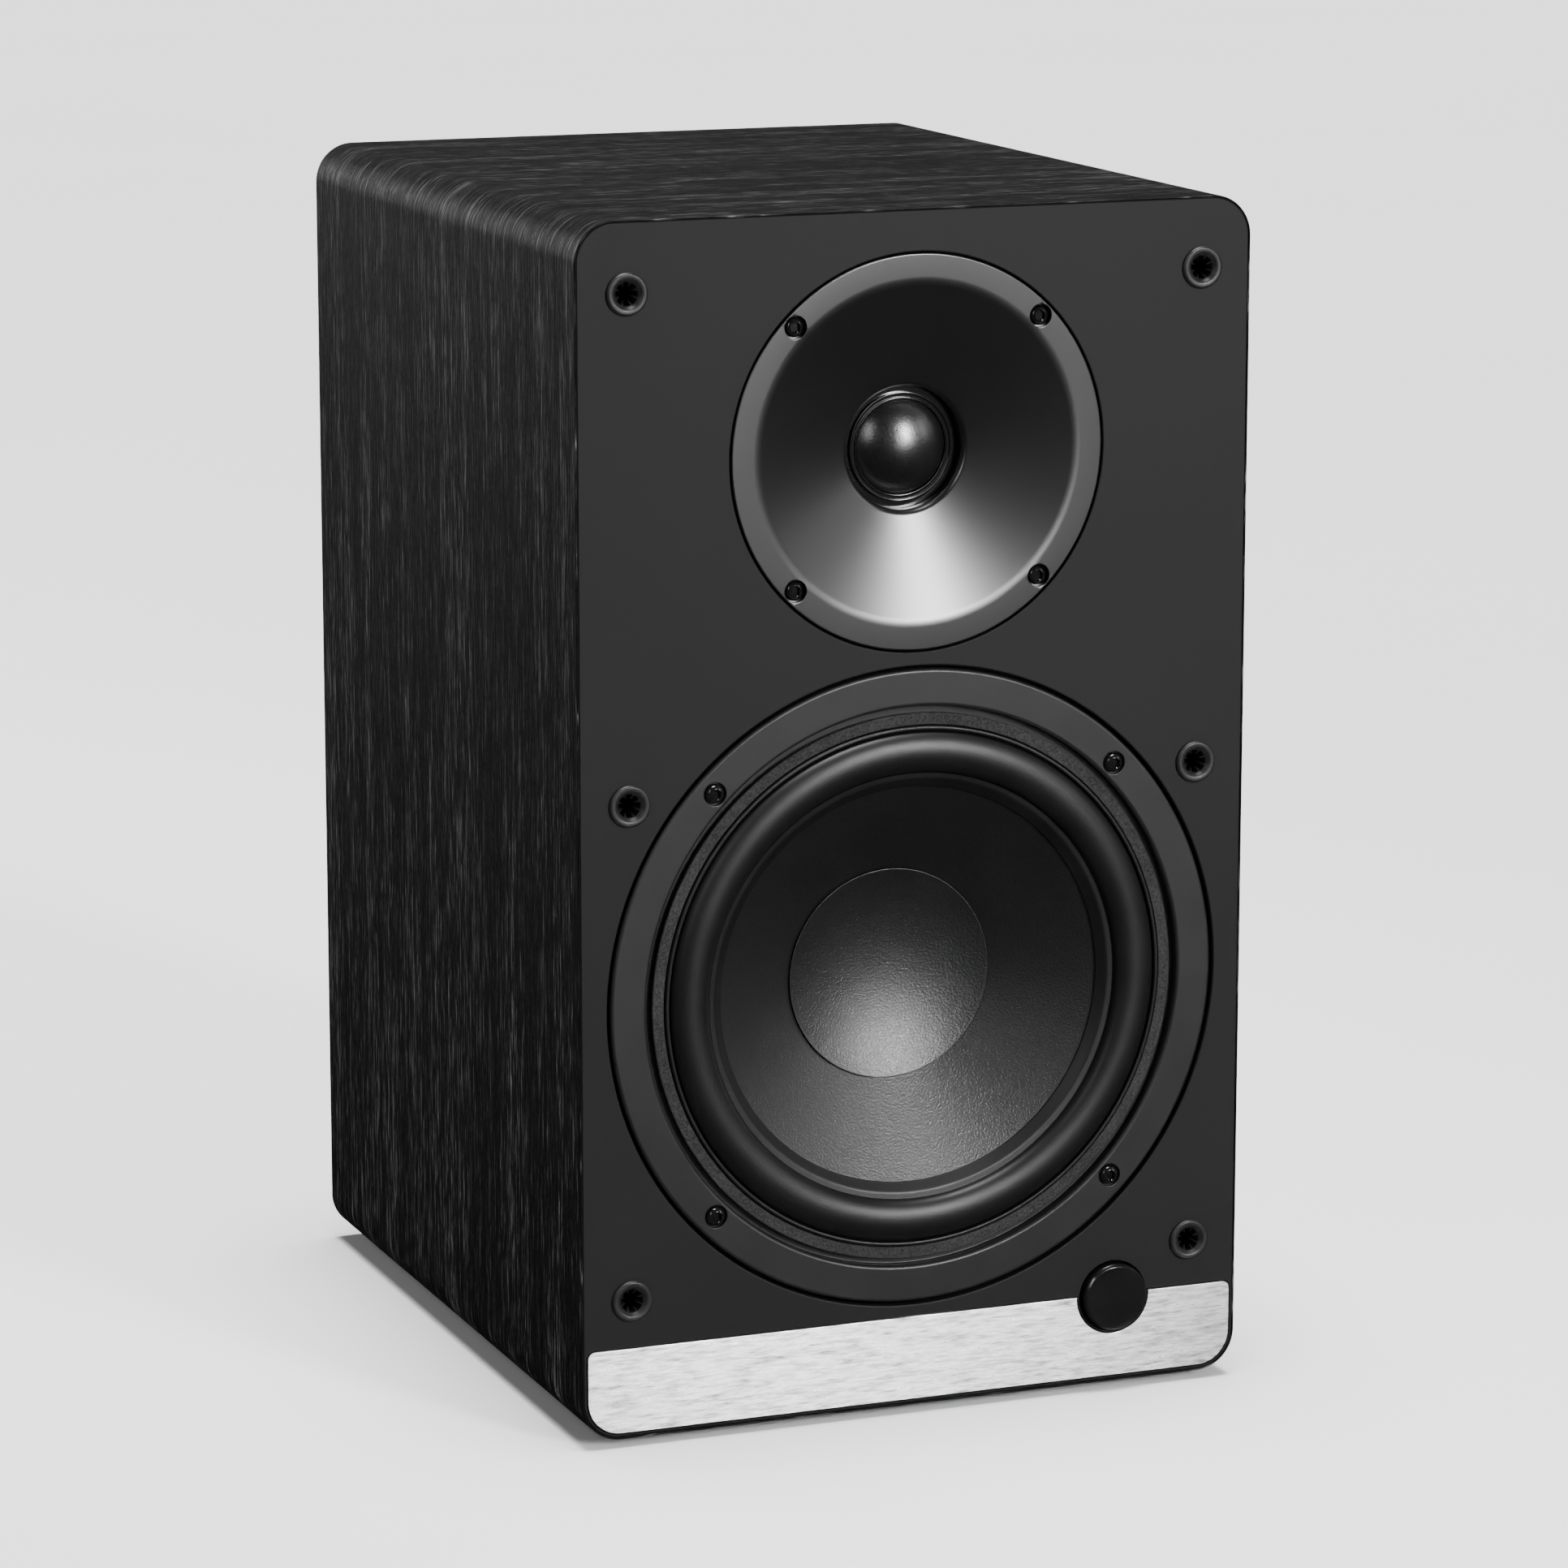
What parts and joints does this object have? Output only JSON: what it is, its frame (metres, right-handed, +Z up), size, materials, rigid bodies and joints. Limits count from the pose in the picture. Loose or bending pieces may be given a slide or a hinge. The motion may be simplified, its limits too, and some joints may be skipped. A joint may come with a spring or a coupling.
{
  "type": "bookshelf speaker",
  "caption": "Powered two-way bookshelf speaker: box cabinet with a horn-loaded dome tweeter, cone woofer, front trim strip with button, and rear amplifier plate and port.",
  "frame": {"origin": "on the floor under the feet, at the middle of the width and of the overall depth", "axes": "+X to the viewer's right when facing the front, +Y from the front to the back, +Z up"},
  "size_m": [0.2, 0.2538, 0.3425],
  "materials": {
    "baffle_paint": "satin charcoal paint over MDF",
    "mdf": "bare MDF",
    "rear_vinyl": "black vinyl over MDF",
    "ash_vinyl": "black ash vinyl with embossed grain",
    "brushed_strip": "brushed along its length",
    "grey_plastic": "satin grey",
    "black_plastic": "fine satin",
    "red_plastic": "clear-toned red",
    "smoked_plastic": "smoked gloss",
    "black_metal": "black coating, satin",
    "zinc_steel": "zinc plated",
    "ferrite": "dull ceramic",
    "rubber": "matt",
    "cone_pulp": "coated paper pulp, speckled",
    "dome_cloth": "doped cloth, slight sheen",
    "spider_cloth": "impregnated cotton",
    "coil": "copper winding on an aluminium former",
    "circuit_board": "green solder mask with components",
    "lead_sleeve": "black sleeve"
  },
  "bodies": {
    "cabinet": {"amplifier_board": "circuit_board", "amplifier_plate": "black_metal", "bottom_panel": "mdf", "button_board": "circuit_board", "button_guide": "black_plastic", "front_baffle": "baffle_paint", "grille_socket_bottom_left": "black_plastic", "grille_socket_bottom_right": "black_plastic", "grille_socket_middle_left": "black_plastic", "grille_socket_middle_right": "black_plastic", "grille_socket_top_left": "black_plastic", "grille_socket_top_right": "black_plastic", "input_sockets": "black_plastic", "left_side_panel": "mdf", "mains_inlet": "black_plastic", "port_tube": "black_plastic", "rear_panel": "rear_vinyl", "right_side_panel": "mdf", "rubber_foot_front_left": "rubber", "rubber_foot_front_right": "rubber", "rubber_foot_rear_left": "rubber", "rubber_foot_rear_right": "rubber", "speaker_terminals": "black_plastic", "top_panel": "mdf", "trim_strip": "brushed_strip", "tweeter_dome_ring": "black_plastic", "tweeter_lead": "lead_sleeve", "tweeter_magnet": "ferrite", "tweeter_screw_lower_left": "black_metal", "tweeter_screw_lower_right": "black_metal", "tweeter_screw_upper_left": "black_metal", "tweeter_screw_upper_right": "black_metal", "tweeter_top_plate": "zinc_steel", "tweeter_waveguide": "grey_plastic", "tweeter_yoke": "zinc_steel", "vinyl_wrap": "ash_vinyl", "woofer_basket": "black_metal", "woofer_gasket": "rubber", "woofer_lead": "lead_sleeve", "woofer_magnet": "ferrite", "woofer_screw_lower_left": "black_metal", "woofer_screw_lower_right": "black_metal", "woofer_screw_upper_left": "black_metal", "woofer_screw_upper_right": "black_metal", "woofer_spider": "spider_cloth", "woofer_surround": "rubber", "woofer_top_plate": "zinc_steel", "woofer_yoke": "zinc_steel"},
    "woofer_moving": {"woofer_cone": "cone_pulp", "woofer_dust_cap": "cone_pulp", "woofer_voice_coil": "coil"},
    "tweeter_moving": {"tweeter_dome": "dome_cloth", "tweeter_voice_coil": "coil"},
    "button_moving": {"front_button": "smoked_plastic"},
    "knob_moving": {"volume_knob": "black_plastic"},
    "rocker_moving": {"power_rocker": "black_plastic"},
    "washer_red_moving": {"terminal_washer_red": "zinc_steel"},
    "cap_red_moving": {"terminal_cap_red": "red_plastic"},
    "washer_black_moving": {"terminal_washer_black": "zinc_steel"},
    "cap_black_moving": {"terminal_cap_black": "black_plastic"}
  },
  "joints": [
    {"name": "woofer_travel", "type": "slide", "parent": "cabinet", "child": "woofer_moving", "axis": [0, -1, 0], "range_m": [-0.006, 0.006], "stiffness_N_per_m": 1500, "deforming": ["woofer_surround", "woofer_spider"]},
    {"name": "tweeter_travel", "type": "slide", "parent": "cabinet", "child": "tweeter_moving", "axis": [0, -1, 0], "range_m": [-0.0004, 0.0004], "stiffness_N_per_m": 2000},
    {"name": "front_button_press", "type": "slide", "parent": "cabinet", "child": "button_moving", "axis": [0, 1, 0], "range_m": [0, 0.001], "stiffness_N_per_m": 1100, "springref_m": -0.0005},
    {"name": "volume_turn", "type": "hinge", "parent": "cabinet", "child": "knob_moving", "pos_m": [0.038, 0.1099, 0.1965], "axis": [0, 1, 0], "range_deg": [-150, 150]},
    {"name": "power_rocker_tip", "type": "hinge", "parent": "cabinet", "child": "rocker_moving", "pos_m": [0.009, 0.1089, 0.0545], "axis": [1, 0, 0], "range_deg": [-16, 0]},
    {"name": "terminal_red_lift", "type": "slide", "parent": "cabinet", "child": "washer_red_moving", "axis": [0, 1, 0], "range_m": [0, 0.003]},
    {"name": "terminal_red_turn", "type": "hinge", "parent": "washer_red_moving", "child": "cap_red_moving", "pos_m": [0.00953, 0.1099, 0.1305], "axis": [0, 1, 0], "range_deg": [0, 1080]},
    {"name": "terminal_black_lift", "type": "slide", "parent": "cabinet", "child": "washer_black_moving", "axis": [0, 1, 0], "range_m": [0, 0.003]},
    {"name": "terminal_black_turn", "type": "hinge", "parent": "washer_black_moving", "child": "cap_black_moving", "pos_m": [-0.00953, 0.1099, 0.1305], "axis": [0, 1, 0], "range_deg": [0, 1080]}
  ],
  "couplings": [
    {"joint": "terminal_red_turn", "follows": "terminal_red_lift", "rad_per_m": 6283.2},
    {"joint": "terminal_black_turn", "follows": "terminal_black_lift", "rad_per_m": 6283.2}
  ]
}
